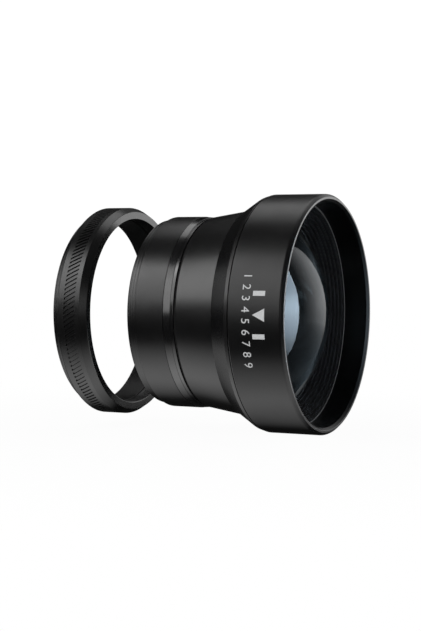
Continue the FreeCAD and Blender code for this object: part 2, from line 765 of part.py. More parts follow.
def rear_cell():
    """Cell of the rear glass group, held by its flange inside the rear barrel."""
    lip = less(CELL_LIP_X, CELL_X)
    front = less(CELL_FRONT_X, CELL_X)
    flange_front = total("cell_tail_length", "cell_flange_length")
    return turned("rear_cell", CELL_X, [
        ("0", RING_THREAD_BORE),
        (cell("ring_thread_length"), RING_THREAD_BORE),
        (cell("ring_thread_length"), CELL_BORE),
        (lip, CELL_BORE),
        (lip, CELL_LIP_RADIUS),
        (front, CELL_LIP_RADIUS),
        (front, CELL_RADIUS),
        (flange_front, CELL_RADIUS),
        (flange_front, CELL_FLANGE_RADIUS),
        (cell("cell_tail_length"), CELL_FLANGE_RADIUS),
        (cell("cell_tail_length"), CELL_TAIL_RADIUS),
        ("0", CELL_TAIL_RADIUS),
    ])


def cell_shim():
    """Thin shim that sets the rear cell's distance."""
    return plain_ring(
        "cell_shim", INNER_FLANGE_END_X, cell("shim_thickness"), REAR_BORE,
        CELL_FLANGE_RADIUS)


def cell_lock_ring():
    """Threaded ring that clamps the cell's flange."""
    bore = total(CELL_RADIUS, "fit_gap")
    body = plain_ring("cell_lock_ring", LOCK_RING_X, cell("lock_ring_length"), bore, CELL_FLANGE_RADIUS)
    spanner_slots(body, cell("lock_ring_length"), bore, CELL_FLANGE_RADIUS, False)
    return body


def rear_concave_lens():
    """Hollow element of the rear group."""
    return ground_lens(
        "rear_concave_lens", REAR_ELEMENT_RADIUS, CONCAVE_REAR_X, CELL_LIP_X,
        ("hollow", "concave_rear_curve", REAR_CLEAR_RADIUS),
        ("hollow", "concave_front_curve", CELL_LIP_RADIUS))


def rear_spacer_ring():
    """Blackened spacer between the two elements of the rear group."""
    start = total(SPACER_X, "glass_gap")
    return plain_ring(
        "rear_spacer_ring", start, less(CONCAVE_REAR_X, start), REAR_CLEAR_RADIUS,
        REAR_ELEMENT_RADIUS)


def rear_meniscus_lens():
    """Rearmost element, bulging forwards into the hollow of the one before it."""
    return ground_lens(
        "rear_meniscus_lens", REAR_ELEMENT_RADIUS, MENISCUS_REAR_X, MENISCUS_EDGE_X,
        ("hollow", "meniscus_rear_curve", REAR_RING_BORE),
        ("convex", "meniscus_front_curve", REAR_ELEMENT_RADIUS))


def rear_retaining_ring():
    """Threaded ring behind the rearmost glass."""
    length = less("ring_thread_length", "fit_gap")
    body = plain_ring(
        "rear_retaining_ring", CELL_X, length, REAR_RING_BORE, RING_THREAD_RADIUS)
    spanner_slots(body, "0", REAR_RING_BORE, RING_THREAD_RADIUS, True)
    return body


def adapter_sleeve():
    """Sleeve of the adapter ring with the male thread for the camera's tube."""
    length = total("neck_length", FLANGE_FRONT)
    flange_rear = total("neck_length", FLANGE_REAR)
    bore_edge = total(TUBE_BORE, "collar_bore_bevel")
    count = turns_in(SIZES["neck_length"] - SIZES["neck_chamfer"])
    start = f"{cell('neck_chamfer')} + ({cell('thread_pitch')} - {cell('thread_groove')}) / 2"
    thread = groove_corners(start, count, CAMERA_THREAD_RADIUS, cell("thread_depth"))
    corners = [
        ("0", bore_edge),
        (cell("collar_bore_bevel"), TUBE_BORE),
        (length, TUBE_BORE),
        (length, RECESS_FIT_RADIUS),
        (flange_rear, RECESS_FIT_RADIUS),
        (flange_rear, TUBE_RADIUS),
        (cell("neck_length"), TUBE_RADIUS),
        (cell("neck_length"), CAMERA_THREAD_RADIUS),
    ]
    corners += reversed(thread)
    corners.append((cell("neck_chamfer"), CAMERA_THREAD_RADIUS))
    corners.append(("0", less(CAMERA_THREAD_RADIUS, "neck_chamfer")))
    return turned("adapter_sleeve", NECK_X, corners)


def slip_washer():
    """Low-friction washer between the sleeve's flange and the collar's shoulder."""
    return plain_ring(
        "slip_washer", total(COLLAR_X, WASHER_START), cell("washer_thickness"),
        total(TUBE_BORE, "running_gap"), RECESS_FIT_RADIUS)


def knurled_collar():
    """Grip collar with slanted grooves around it and the female thread in front."""
    bevel = cell("collar_bore_bevel")
    count = turns_in(SIZES["collar_thread_length"] - 2 * SIZES["collar_bore_bevel"])
    start = total(COLLAR_SHOULDER, "collar_bore_bevel")
    thread = groove_corners(start, count, COLLAR_BORE, f"-({cell('thread_depth')})")
    cone_start = less("collar_length", "collar_cone_length")
    corner_start = less("collar_length", "collar_corner")
    corners = [("0", COLLAR_RECESS)]
    corners.append((COLLAR_SHOULDER, COLLAR_RECESS))
    corners.append((COLLAR_SHOULDER, COLLAR_BORE))
    corners += thread
    corners += [
        (less("collar_length", "collar_bore_bevel"), COLLAR_BORE),
        (cell("collar_length"), f"{COLLAR_BORE} + {bevel}"),
        (cell("collar_length"), less(COLLAR_FACE_RADIUS, "collar_corner")),
        (corner_start, COLLAR_FACE_RADIUS),
        (cone_start, COLLAR_RADIUS),
        (cell("collar_rear_bevel"), COLLAR_RADIUS),
        ("0", less(COLLAR_RADIUS, "collar_rear_bevel")),
    ]
    body = turned("knurled_collar", COLLAR_X, corners)
    slant = cell("knurl_slant")
    width = cell("knurl_groove_width")
    length = f"{cell('knurl_length')} / cos({slant})"
    outline = flat_sketch(body, "knurl_outline", "XY_Plane")
    outline.AttachmentOffset = FreeCAD.Placement(
        FreeCAD.Vector(), FreeCAD.Rotation(FreeCAD.Vector(0, 0, 1), SIZES["knurl_slant"]))
    outline.setExpression("AttachmentOffset.Rotation.Angle", slant)
    outline.setExpression(
        "AttachmentOffset.Base.x", f"{cell('knurl_start')} + {width} / 2 * sin({slant})")
    outline.setExpression(
        "AttachmentOffset.Base.y", f"-({length} * sin({slant}) + {width} * cos({slant})) / 2")
    outline.setExpression(
        "AttachmentOffset.Base.z", less(COLLAR_RADIUS, "knurl_groove_depth"))
    draw_outline(outline, [("0", "0"), (length, "0"), (length, width), ("0", width)])
    groove = add_pocket(body, "knurl_groove", outline, f"2 * {cell('knurl_groove_depth')}", True)
    repeat_around(body, "knurl_grooves", [groove], "knurl_count")
    return body


def collar_back_ring():
    """Threaded ring in the collar's back that keeps the collar on the sleeve."""
    bore = BACK_RING_BORE
    radius = BACK_RING_RADIUS
    body = plain_ring(
        "collar_back_ring", total(COLLAR_X, "back_recess"), BACK_RING_LENGTH, bore, radius)
    spanner_slots(body, "0", bore, radius, True)
    return body


pieces = [
    hood_shell(),
    hood_seal_ring(),
    baffle_ring(),
    glass_gasket(),
    front_crown_lens(),
    front_flint_lens(),
    main_casing(),
    light_trap_liner(),
    stop_plate(),
    rear_barrel(),
    trim_band(),
    joint_seal(),
    mount_ring(),
    mount_screws(),
    centring_screws(),
    rear_cell(),
    cell_shim(),
    cell_lock_ring(),
    rear_concave_lens(),
    rear_spacer_ring(),
    rear_meniscus_lens(),
    rear_retaining_ring(),
    adapter_sleeve(),
    slip_washer(),
    knurled_collar(),
    collar_back_ring(),
]
doc.recompute()

for item in doc.Objects:
    if "Invalid" in item.State or "Error" in item.State:
        raise RuntimeError(f"{item.Label} failed: {item.State}")
for piece in pieces:
    if piece.Shape.isNull() or not piece.Shape.isValid():
        raise RuntimeError(f"{piece.Label} has no valid shape")

os.makedirs("parts", exist_ok=True)
for piece in pieces:
    piece.Shape.exportStep(f"parts/{piece.Label}.step")
    box = piece.Shape.BoundBox
    print(f"{piece.Label}: x {box.XMin:.2f} to {box.XMax:.2f}, radius {box.ZMax:.2f},",
          f"{len(piece.Shape.Solids)} solid, {piece.Shape.Volume:.1f} mm3")
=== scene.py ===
"""Telephoto conversion lens with its adapter ring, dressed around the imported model.

The optical axis is X and the lens faces +X. All lengths are in metres.
"""
import math

import bmesh
import bpy
from mathutils import Matrix, Vector


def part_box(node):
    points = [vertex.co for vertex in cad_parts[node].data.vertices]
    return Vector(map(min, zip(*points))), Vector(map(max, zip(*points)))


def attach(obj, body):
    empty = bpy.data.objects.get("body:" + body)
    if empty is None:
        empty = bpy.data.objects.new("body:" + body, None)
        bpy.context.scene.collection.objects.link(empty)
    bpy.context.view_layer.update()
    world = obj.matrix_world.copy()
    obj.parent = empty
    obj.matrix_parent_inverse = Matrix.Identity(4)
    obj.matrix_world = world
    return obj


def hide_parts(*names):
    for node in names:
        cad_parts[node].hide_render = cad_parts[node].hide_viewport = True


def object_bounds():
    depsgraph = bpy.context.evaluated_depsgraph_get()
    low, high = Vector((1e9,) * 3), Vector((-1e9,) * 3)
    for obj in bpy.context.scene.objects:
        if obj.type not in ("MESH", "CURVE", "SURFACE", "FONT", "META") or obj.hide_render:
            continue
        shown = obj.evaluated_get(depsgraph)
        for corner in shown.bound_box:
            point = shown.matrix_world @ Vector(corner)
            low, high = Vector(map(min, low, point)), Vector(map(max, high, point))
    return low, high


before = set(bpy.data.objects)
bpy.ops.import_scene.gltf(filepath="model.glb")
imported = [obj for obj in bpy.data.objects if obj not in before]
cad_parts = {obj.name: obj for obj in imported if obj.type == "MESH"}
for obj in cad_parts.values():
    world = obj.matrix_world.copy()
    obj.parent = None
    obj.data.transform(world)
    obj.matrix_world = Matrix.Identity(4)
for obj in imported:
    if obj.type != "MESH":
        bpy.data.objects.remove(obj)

bl_info = {
    "name": "Telephoto lens",
    "version": (1, 0, 0),
    "blender": (4, 5, 0),
    "location": "3D View > Sidebar > Lens",
    "description": "Dresses a telephoto conversion lens and its adapter ring",
    "category": "Object",
}

MM = 0.001
CAD_BOX = [list(corner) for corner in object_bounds()]


def span(node):
    """Rear end, front end and outer radius of a turned CAD node."""
    low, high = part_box(node)
    return low.x, high.x, high.z


def length(name, default, about):
    """A length property, with its default in millimetres."""
    return bpy.props.FloatProperty(
        name=name, description=about, default=default * MM, min=0.0, unit="LENGTH", precision=5)


def colour(name, default, about):
    """A colour property of the object or the stage."""
    return bpy.props.FloatVectorProperty(
        name=name, description=about, default=default, size=3, min=0.0, max=1.0, subtype="COLOR")


class LensSizes(bpy.types.PropertyGroup):
    """Sizes of the lens and its ring that the frame's boxes don't give."""
    segments: bpy.props.IntProperty(
        name="Segments", description="Flats around each turned piece", default=288, min=24)
    edge_round: length("Edge round", 0.08, "Radius that breaks a sharp turned edge")
    fit_gap: length("Fit gap", 0.05, "Clearance between screwed pieces")
    hood_wall: length("Hood wall", 2.05, "Wall of the hood around its mouth")
    hood_socket_wall: length("Hood socket wall", 1.3, "Wall of the hood over the casing")
    rim_chamfer: length("Rim chamfer", 0.8, "Chamfer around the hood's rim")
    mouth_bevel: length("Mouth bevel", 0.7, "Bevel inside the hood's rim")
    rim_round: length("Rim round", 0.9, "Rounding between the hood and its rim's chamfer")
    paint_depth: length("Paint depth", 0.02, "How far the hood's skin lies under its marks")
    scale_count: bpy.props.IntProperty(
        name="Scale numbers", description="Numbers in the row on the hood", default=9, min=1)
    scale_height: length("Number height", 2.3, "Height of the row's numbers")
    scale_pitch: length("Number pitch", 2.95, "Spacing of the row's numbers around the hood")
    scale_start: length("Number place", 4.0, "Distance of the row from the hood's back")
    scale_centre: length("Row centre", 1.6, "How far the row's middle lies below the near side")
    index_height: length("Index height", 3.4, "Length of the index mark along the axis")
    index_width: length("Index width", 1.3, "Width of an index bar")
    index_pitch: length("Index pitch", 5.6, "Spacing of the index bars")
    index_start: length("Index place", 7.0, "Distance of the index mark from the hood's back")
    seam_gap: length("Seam gap", 0.22, "Width of the dark seam behind the hood")
    seam_depth: length("Seam depth", 0.35, "Depth of the dark seam behind the hood")
    band_width: length("Band width", 2.1, "Width of the bright band")
    band_taper: length("Band taper", 0.2, "Drop of the bright band along its width")
    band_step: length("Band step", 0.1, "Step down to the land in front of the band")
    seal_sink: length("Seal sink", 0.3, "How far the seal lies below its CAD ring's edge")
    body_length: length("Body length", 11.8, "Length of the tapered middle barrel")
    body_rise: length("Body rise", 1.85, "Rise of the middle barrel's taper")
    body_drop: length("Body drop", 0.1, "Step from the rear barrel down to the middle one")
    body_bevel: length("Body bevel", 0.25, "Bevel at the middle barrel's back")
    flare_step: length("Flare step", 0.45, "Step at the flare's back")
    land_width: length("Land width", 1.3, "Width of the land at the flare's front")
    land_rise: length("Land rise", 0.3, "Rise of the land at the flare's front")
    seam_bevel: length("Seam bevel", 0.15, "Step from the flare up to the hood")
    sleeve_wall: length("Sleeve wall", 1.5, "Wall of the casing's sleeve under the hood")
    baffle_flange: length("Baffle flange", 1.0, "Length of the stepped ring's front flange")
    baffle_lip: length("Baffle lip", 0.4, "Width of the stepped ring's front face")
    baffle_steps: bpy.props.IntProperty(
        name="Baffle steps", description="Steps inside the ring around the glass", default=7, min=3)
    front_curve: length("Front curve", 35.0, "Radius of the domed front face")
    glass_clear: length("Clear radius", 25.3, "Radius of the front glass that shows")
    flint_curve: length("Rear face curve", 150.0, "Radius of the front group's hollow rear face")
    flint_clear: length("Rear face radius", 24.0, "Radius where that hollow face meets its land")
    nose_chamfer: length("Nose chamfer", 0.45, "Chamfer at the end of the rear thread")
    thread_pitch: length("Thread pitch", 0.75, "Pitch of the fine threads")
    thread_relief: length("Thread relief", 0.1, "Depth that the painted threads show")
    worn_relief: length("Worn relief", 0.025, "Depth that the filled rear thread shows")
    rear_bore: length("Rear bore", 22.4, "Radius of the hole in the mount ring")
    groove_count: bpy.props.IntProperty(
        name="Grip grooves", description="Slanted grooves around the collar", default=144, min=12)
    groove_slant: bpy.props.FloatProperty(
        name="Groove slant", description="Angle of the grip grooves from the axis",
        default=math.radians(30.0), subtype="ANGLE")
    groove_width: length("Groove width", 0.55, "Width of a grip groove")
    groove_depth: length("Groove depth", 0.32, "Depth of a grip groove")
    groove_start: length("Groove start", 2.05, "Plain stretch behind the grip grooves")
    groove_length: length("Groove length", 3.45, "Length of the grip band along the axis")
    collar_bore: length("Collar bore", 26.25, "Radius of the collar's threaded bore")
    collar_recess: length("Collar recess", 28.5, "Radius of the collar's rear recess")
    collar_cone: length("Collar cone", 1.9, "Length of the collar's front cone")
    collar_drop: length("Collar drop", 1.1, "Drop of the collar's front cone")
    collar_thread: length("Collar thread", 3.5, "Length of the collar's threaded bore")
    tube_bore: length("Tube bore", 26.15, "Bore of the adapter's sleeve")
    tube_wall: length("Tube wall", 0.85, "Wall of the adapter's sleeve behind its flange")
    neck_radius: length("Neck radius", 27.5, "Radius of the adapter's rear thread")
    neck_length: length("Neck length", 2.55, "Length of the adapter's rear thread")
    flange_length: length("Flange length", 1.65, "Thickness of the adapter's hidden flange")


class LensColours(bpy.types.PropertyGroup):
    """Colours of the finishes and the stage."""
    anodised: colour("Anodised black", (0.0026, 0.0026, 0.0029), "Black of the barrels and hood")
    step: colour("Steps", (0.009, 0.009, 0.0095), "Black of the stepped ring around the glass")
    # Painted highlight: a light grey on the stepped ring's front edge and the hood's rim face, standing
    # in for the light that catches them
    edge: colour("Painted edge highlight", (0.16, 0.16, 0.163), "Light grey painted as a highlight on the stepped ring's edge and the hood's rim")
    band: colour("Band", (0.003, 0.003, 0.0033), "Black of the bright band")
    collar: colour("Collar", (0.0028, 0.0028, 0.003), "Black of the grip collar")
    liner: colour("Liner", (0.012, 0.012, 0.013), "Grey of the tube behind the front glass")
    glass: colour("Glass", (0.8, 0.88, 0.92), "Tint of the coated glass")
    marks: colour("Marks", (0.78, 0.79, 0.8), "Paint of the marks on the hood")
    floor: colour("Floor", (0.86, 0.86, 0.86), "Colour of the floor")


class Value:
    """A shader socket that adds Math nodes when it is used in an expression."""

    def __init__(self, nodes, socket):
        self.nodes = nodes
        self.socket = socket

    def math(self, operation, *others):
        """A Math node on this value and others."""
        return self.nodes.add("ShaderNodeMath", {"operation": operation}, [self, *others])

    def __add__(self, other):
        return self.math("ADD", other)

    __radd__ = __add__

    def __mul__(self, other):
        return self.math("MULTIPLY", other)

    __rmul__ = __mul__

    def __sub__(self, other):
        return self.math("SUBTRACT", other)

    def __rsub__(self, other):
        return self.nodes.add("ShaderNodeMath", {"operation": "SUBTRACT"}, [other, self])


# Places of the sockets of a Mix node that mixes colours
MIX_FACTOR, MIX_FIRST, MIX_SECOND, MIX_RESULT = 0, 6, 7, 2


class Nodes:
    """The node tree of a material or the world."""

    def __init__(self, owner):
        owner.use_nodes = True
        self.tree = owner.node_tree
        self.tree.nodes.clear()

    def raw(self, kind, settings=None, inputs=()):
        """A node of a type, with its settings made first and then its sockets."""
        node = self.tree.nodes.new(kind)
        for name, value in (settings or {}).items():
            setattr(node, name, value)
        pairs = inputs.items() if isinstance(inputs, dict) else enumerate(inputs)
        for key, value in pairs:
            self.join(node.inputs[key], value)
        return node

    def join(self, socket, value):
        """Links a value to a socket, or sets a number or colour on it."""
        if isinstance(value, Value):
            self.tree.links.new(value.socket, socket)
        elif socket.type == "RGBA" and len(value) == 3:
            socket.default_value = (*value, 1.0)
        else:
            socket.default_value = value

    def add(self, kind, settings=None, inputs=(), output=0):
        """A node whose named or numbered output is the value."""
        return Value(self, self.raw(kind, settings, inputs).outputs[output])

    def place(self):
        """Position on the object, in metres."""
        return self.add("ShaderNodeTexCoord", output="Object")

    def noise(self, vector, scale, detail, roughness=0.5):
        """Soft random value from 0 to 1."""
        inputs = {"Vector": vector, "Scale": scale, "Detail": detail, "Roughness": roughness}
        return self.add("ShaderNodeTexNoise", None, inputs)

    def ramp(self, value, low, high):
        """Value mapped from low..high to 0..1, held at its ends."""
        inputs = {"Value": value, "From Min": low, "From Max": high}
        return self.add("ShaderNodeMapRange", {"clamp": True}, inputs)

    def blend(self, factor, first, second):
        """Colour between two colours."""
        inputs = {MIX_FACTOR: factor, MIX_FIRST: first, MIX_SECOND: second}
        return self.add("ShaderNodeMix", {"data_type": "RGBA"}, inputs, MIX_RESULT)

    def bump(self, height, strength, distance):
        """Normal tipped by a height."""
        inputs = {"Height": height, "Strength": strength, "Distance": distance}
        return self.add("ShaderNodeBump", None, inputs, "Normal")

    def ray(self, kind):
        """1 for a kind of ray, such as Camera, and 0 for the others."""
        return self.add("ShaderNodeLightPath", output=f"Is {kind} Ray")

    def axes(self):
        """The position's x, y and z, in metres."""
        parts = self.raw("ShaderNodeSeparateXYZ", None, [self.place()])
        return [Value(self, socket) for socket in parts.outputs]

    def finish(self, shader):
        """Sends a shader to the surface."""
        self.raw("ShaderNodeOutputMaterial", None, {"Surface": shader})


WHITE = (1.0, 1.0, 1.0)
BLACK = (0.0, 0.0, 0.0)
# Noise scales, per metre, of the marks on the finishes, and the depth of their grain
GRAIN = 9000.0
CLOUDS = 70.0
SMUDGES = 130.0
LATHE_RINGS = 5200.0
GLASS_DUST = 900.0
PAINT_GRAIN = 5000.0
GRAIN_DEPTH = 0.012 * MM
PAINT_DEPTH = 0.005 * MM
# Index of refraction of the coated glass
GLASS_IOR = 1.6


def black_metal(name, base, sheen, roughness, grain, lines):
    """Black finish on turned metal: blasted grain, lathe rings and faint handling marks."""
    material = bpy.data.materials.new(name)
    nodes = Nodes(material)
    place = nodes.place()
    fine = nodes.noise(place, GRAIN, 3.0, 0.6)
    soft = nodes.noise(place, CLOUDS, 3.0)
    smudge = nodes.ramp(nodes.noise(place, SMUDGES, 4.0, 0.65), 0.45, 0.75)
    along = nodes.axes()[0]
    rings = nodes.add("ShaderNodeTexNoise", {"noise_dimensions": "1D"}, {
        "W": along * LATHE_RINGS, "Scale": 1.0, "Detail": 2.0})
    lighter = tuple(channel * 1.9 for channel in base)
    shader = nodes.add("ShaderNodeBsdfPrincipled", None, {
        "Base Color": nodes.blend(soft * 0.5 + fine * 0.4, base, lighter),
        "Roughness": roughness - 0.04 + soft * 0.06 + smudge * 0.05 + (fine - 0.5) * 0.06,
        "IOR": sheen,
        "Normal": nodes.bump(fine * grain + rings * lines, 0.5, GRAIN_DEPTH),
    })
    nodes.finish(shader)
    return material


def coated_glass(name, tint):
    """Clear coated glass that lets the lamps light what is behind it."""
    material = bpy.data.materials.new(name)
    nodes = Nodes(material)
    dust = nodes.ramp(nodes.noise(nodes.place(), GLASS_DUST, 6.0, 0.7), 0.62, 0.9)
    glass = nodes.add("ShaderNodeBsdfPrincipled", None, {
        "Base Color": tint,
        "Roughness": 0.004 + dust * 0.02,
        "IOR": GLASS_IOR,
        "Transmission Weight": 1.0,
        "Specular Tint": (0.9, 0.95, 1.0),
    })
    clear = nodes.add("ShaderNodeBsdfTransparent", None, {"Color": tint})
    nodes.finish(nodes.add("ShaderNodeMixShader", None, [nodes.ray("Shadow"), glass, clear]))
    return material


def mark_paint(name, base):
    """Printed paint, slightly worn."""
    material = bpy.data.materials.new(name)
    nodes = Nodes(material)
    fine = nodes.noise(nodes.place(), PAINT_GRAIN, 4.0, 0.7)
    greyer = tuple(channel * 0.82 for channel in base)
    shader = nodes.add("ShaderNodeBsdfPrincipled", None, {
        "Base Color": nodes.blend(nodes.ramp(fine, 0.4, 0.8), base, greyer),
        "Roughness": 0.42 + fine * 0.2,
        "Normal": nodes.bump(fine, 0.3, PAINT_DEPTH),
    })
    nodes.finish(shader)
    return material


# Points on a rounded corner, the length held beside it, and how much of an edge it may take
ARC_STEPS = 4
SUPPORT = 0.03 * MM
ROUND_SHARE = 0.45
SUPPORT_ROOM = 4.0
# Distance at which points are one, and at which two radii are the same
WELD = 1e-8
SAME = 1e-7
# Degrees between two faces from which their edge is sharp
SHARP_EDGE = 35.0


def rounded(outline):
    """Outline of (x, radius, round) corners with each round drawn as an arc."""
    points = []
    count = len(outline)
    for i, (x, r, size) in enumerate(outline):
        corner = Vector((x, r))
        before = Vector(outline[i - 1][:2]) - corner
        after = Vector(outline[(i + 1) % count][:2]) - corner
        if size <= 0.0:
            points.append(corner)
            continue
        turn = math.pi - before.angle(after)
        reach = min(size * math.tan(turn / 2.0), before.length * ROUND_SHARE, after.length * ROUND_SHARE)
        start = corner + before.normalized() * reach
        end = corner + after.normalized() * reach
        if before.length > SUPPORT_ROOM * (reach + SUPPORT):
            points.append(start + before.normalized() * SUPPORT)
        for step in range(ARC_STEPS + 1):
            t = step / ARC_STEPS
            points.append(start * (1 - t) ** 2 + corner * (2 * t * (1 - t)) + end * t ** 2)
        if after.length > SUPPORT_ROOM * (reach + SUPPORT):
            points.append(end + after.normalized() * SUPPORT)
    return points


def add_mesh(name, vertices, faces):
    """Object from vertices and faces, smooth but for its sharp edges."""
    mesh = bpy.data.meshes.new(name)
    mesh.from_pydata(vertices, [], faces)
    work = bmesh.new()
    work.from_mesh(mesh)
    bmesh.ops.remove_doubles(work, verts=work.verts, dist=WELD)
    bmesh.ops.recalc_face_normals(work, faces=work.faces)
    work.to_mesh(mesh)
    work.free()
    mesh.shade_smooth()
    mesh.set_sharp_from_angle(angle=math.radians(SHARP_EDGE))
    piece = bpy.data.objects.new(name, mesh)
    bpy.context.scene.collection.objects.link(piece)
    return piece


def lathe(name, points, segments, relief=None):
    """Solid ring of a closed outline around the axis; relief moves its points.

    relief takes a point's x, its radius and its angle, and gives them back changed.
    """
    vertices, faces = [], []
    rows = len(points)
    for j in range(segments):
        turn = 2.0 * math.pi * j / segments
        for x, r in points:
            angle = turn
            if relief:
                x, r, angle = relief(x, r, turn)
            vertices.append((x, r * math.cos(angle), r * math.sin(angle)))
    for j in range(segments):
        here = j * rows
        there = ((j + 1) % segments) * rows
        for i in range(rows):
            k = (i + 1) % rows
            faces.append((here + i, there + i, there + k, here + k))
    return add_mesh(name, vertices, faces)


def lathe_solid(name, points, segments):
    """Solid of an outline that runs from the axis to the axis."""
    vertices = [(points[0][0], 0.0, 0.0), (points[-1][0], 0.0, 0.0)]
    faces = []
    inner = points[1:-1]
    rows = len(inner)
    for j in range(segments):
        angle = 2.0 * math.pi * j / segments
        for x, r in inner:
            vertices.append((x, r * math.cos(angle), r * math.sin(angle)))
    for j in range(segments):
        here = 2 + j * rows
        there = 2 + ((j + 1) % segments) * rows
        faces.append((0, here, there))
        faces.append((1, there + rows - 1, here + rows - 1))
        for i in range(rows - 1):
            faces.append((here + i, here + i + 1, there + i + 1, there + i))
    return add_mesh(name, vertices, faces)


# Steps along a spherical face
ARC_POINTS = 40


def sag(curve, radius):
    """Depth of a spherical face at a radius."""
    return curve - math.sqrt(curve ** 2 - radius ** 2)


def sphere_arc(vertex, curve, radius):
    """Points of a spherical face that bulges to +X, from the axis to a radius."""
    radii = [radius * math.sin(math.pi / 2 * step / ARC_POINTS) for step in range(ARC_POINTS + 1)]
    return [(vertex - sag(curve, r), r) for r in radii]


# Colour, index of refraction, roughness, grain and lathe rings of each finish on turned metal
METAL_FINISHES = {
    "hood_black": ("anodised", 1.68, 0.33, 0.4, 0.05),
    "barrel_black": ("anodised", 1.8, 0.3, 0.25, 0.3),
    "face_black": ("anodised", 3.0, 0.22, 0.2, 0.2),
    "flare_black": ("anodised", 1.45, 0.27, 0.3, 0.2),
    # The next two finishes paint a highlight: light grey on the hood's rim face and on the stepped
    # ring's front edge
    "rim_painted_highlight": ("edge", 2.7, 0.15, 0.1, 0.1),
    "edge_painted_highlight": ("edge", 1.6, 0.4, 0.3, 0.1),
    "step_black": ("step", 1.4, 0.4, 0.3, 0.2),
    "band_black": ("band", 2.15, 0.2, 0.1, 0.25),
    "collar_black": ("collar", 1.8, 0.29, 0.3, 0.15),
    "liner_grey": ("liner", 1.5, 0.5, 0.3, 0.4),
}


def finish_of(name):
    """A finish by name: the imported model's own plain one, or one that is made on its first use."""
    known = bpy.data.materials.get(name)
    if known:
        return known
    paint = bpy.context.scene.lens_colours
    if name == "mark_white":
        return mark_paint(name, paint.marks)
    if name in ("front_glass", "rear_glass"):
        return coated_glass(name, paint.glass)
    base, *surface = METAL_FINISHES[name]
    return black_metal(name, getattr(paint, base), *surface)


def dress(piece, body, slot, finish, *nodes):
    """Gives a new piece its body and its finish, and hides the CAD nodes that it stands for."""
    piece.data.materials.append(finish_of(finish))
    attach(piece, body)
    if nodes:
        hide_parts(*nodes)


def add_finish(piece, finish, belongs):
    """Gives another finish to the faces whose middle, as x and radius, belongs."""
    mesh = piece.data
    mesh.materials.append(finish_of(finish))
    for face in mesh.polygons:
        middle = face.center
        if belongs(middle.x, math.hypot(middle.y, middle.z)):
            face.material_index = len(mesh.materials) - 1


def repaint(node, finish):
    """Gives a CAD node its finish."""
    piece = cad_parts[node]
    piece.data.materials.clear()
    piece.data.materials.append(finish_of(finish))


# Rounds of the widest soft corners, in edge rounds
SOFT_CORNER = 6


class HoodOperator(bpy.types.Operator):
    """Builds the wide front hood"""
    bl_idname = "lens.hood"
    bl_label = "Hood"

    def execute(self, context):
        size = context.scene.lens_sizes
        rear, front, radius = span("hood_shell")
        skin = radius - size.paint_depth
        mouth = radius - size.hood_wall
        socket = radius - size.hood_socket_wall
        step = span("baffle_ring")[1] - size.baffle_flange + size.fit_gap
        edge = size.edge_round
        outline = [
            (rear, socket, 0.0),
            (step, socket, 0.0),
            (step, mouth, 0.0),
            (front - size.mouth_bevel, mouth, edge),
            (front, mouth + size.mouth_bevel, edge),
            (front, skin - size.rim_chamfer, edge),
            (front - size.rim_chamfer, skin, size.rim_round),
            (rear + size.seam_bevel, skin, SOFT_CORNER * edge),
            (rear, skin - size.seam_bevel, edge / 2),
        ]
        piece = lathe("hood", rounded(outline), size.segments)
        dress(piece, "lens", "hood_finish", "hood_black", "hood_shell")
        lip = mouth + size.mouth_bevel - edge / 4
        bare = skin - size.seam_bevel
        add_finish(piece, "matt_black", lambda x, r: r < lip)
        # Rim face painted light grey as a highlight
        add_finish(piece, "rim_painted_highlight", lambda x, r: x > front - edge / 4)
        add_finish(piece, "face_black", lambda x, r: x < rear + size.seam_bevel and r > bare)
        return {"FINISHED"}


class CasingOperator(bpy.types.Operator):
    """Builds the tapered and flared middle barrel"""
    bl_idname = "lens.casing"
    bl_label = "Middle barrel"

    def execute(self, context):
        size = context.scene.lens_sizes
        rear, front, _ = span("main_casing")
        barrel = span("rear_barrel")[2]
        hood_rear, _, hood = span("hood_shell")
        flare = rear + size.body_length
        back = barrel - size.body_drop
        taper_end = back + size.body_rise
        flare_end = taper_end + size.flare_step
        flange = hood - size.seam_bevel
        sleeve = hood - size.hood_socket_wall - size.fit_gap
        land = hood_rear - size.land_width
        seam = hood_rear - size.seam_gap
        bore = sleeve - size.sleeve_wall
        glass = span("front_flint_lens")
        bore_step = span("glass_gasket")[1]
        socket = span("stop_plate")[2] + size.fit_gap
        middle = span("light_trap_liner")[2] + size.fit_gap
        socket_end = span("stop_plate")[1] + size.fit_gap
        edge = size.edge_round
        outline = [
            (rear, socket, 0.0),
            (socket_end, socket, 0.0),
            (socket_end, middle, 0.0),
            (glass[0], middle, edge),
            (glass[0], glass[2] + size.fit_gap, 0.0),
            (bore_step, glass[2] + size.fit_gap, 0.0),
            (bore_step, bore, 0.0),
            (front, bore, edge),
            (front, sleeve, edge),
            (hood_rear, sleeve, 0.0),
            (hood_rear, flange - size.seam_depth, 0.0),
            (seam, flange - size.seam_depth, 0.0),
            (seam, flange, edge),
            (land, flange - size.land_rise, SOFT_CORNER * edge),
            (flare, flare_end, edge),
            (flare, taper_end, 0.0),
            (rear + size.body_bevel, back, edge * 2),
            (rear, back - size.body_bevel, edge / 2),
        ]
        piece = lathe("middle_barrel", rounded(outline), size.segments)
        dress(piece, "lens", "barrel_finish", "barrel_black", "main_casing")
        add_finish(piece, "flare_black", lambda x, r: flare - edge < x < land and r > taper_end)
        return {"FINISHED"}


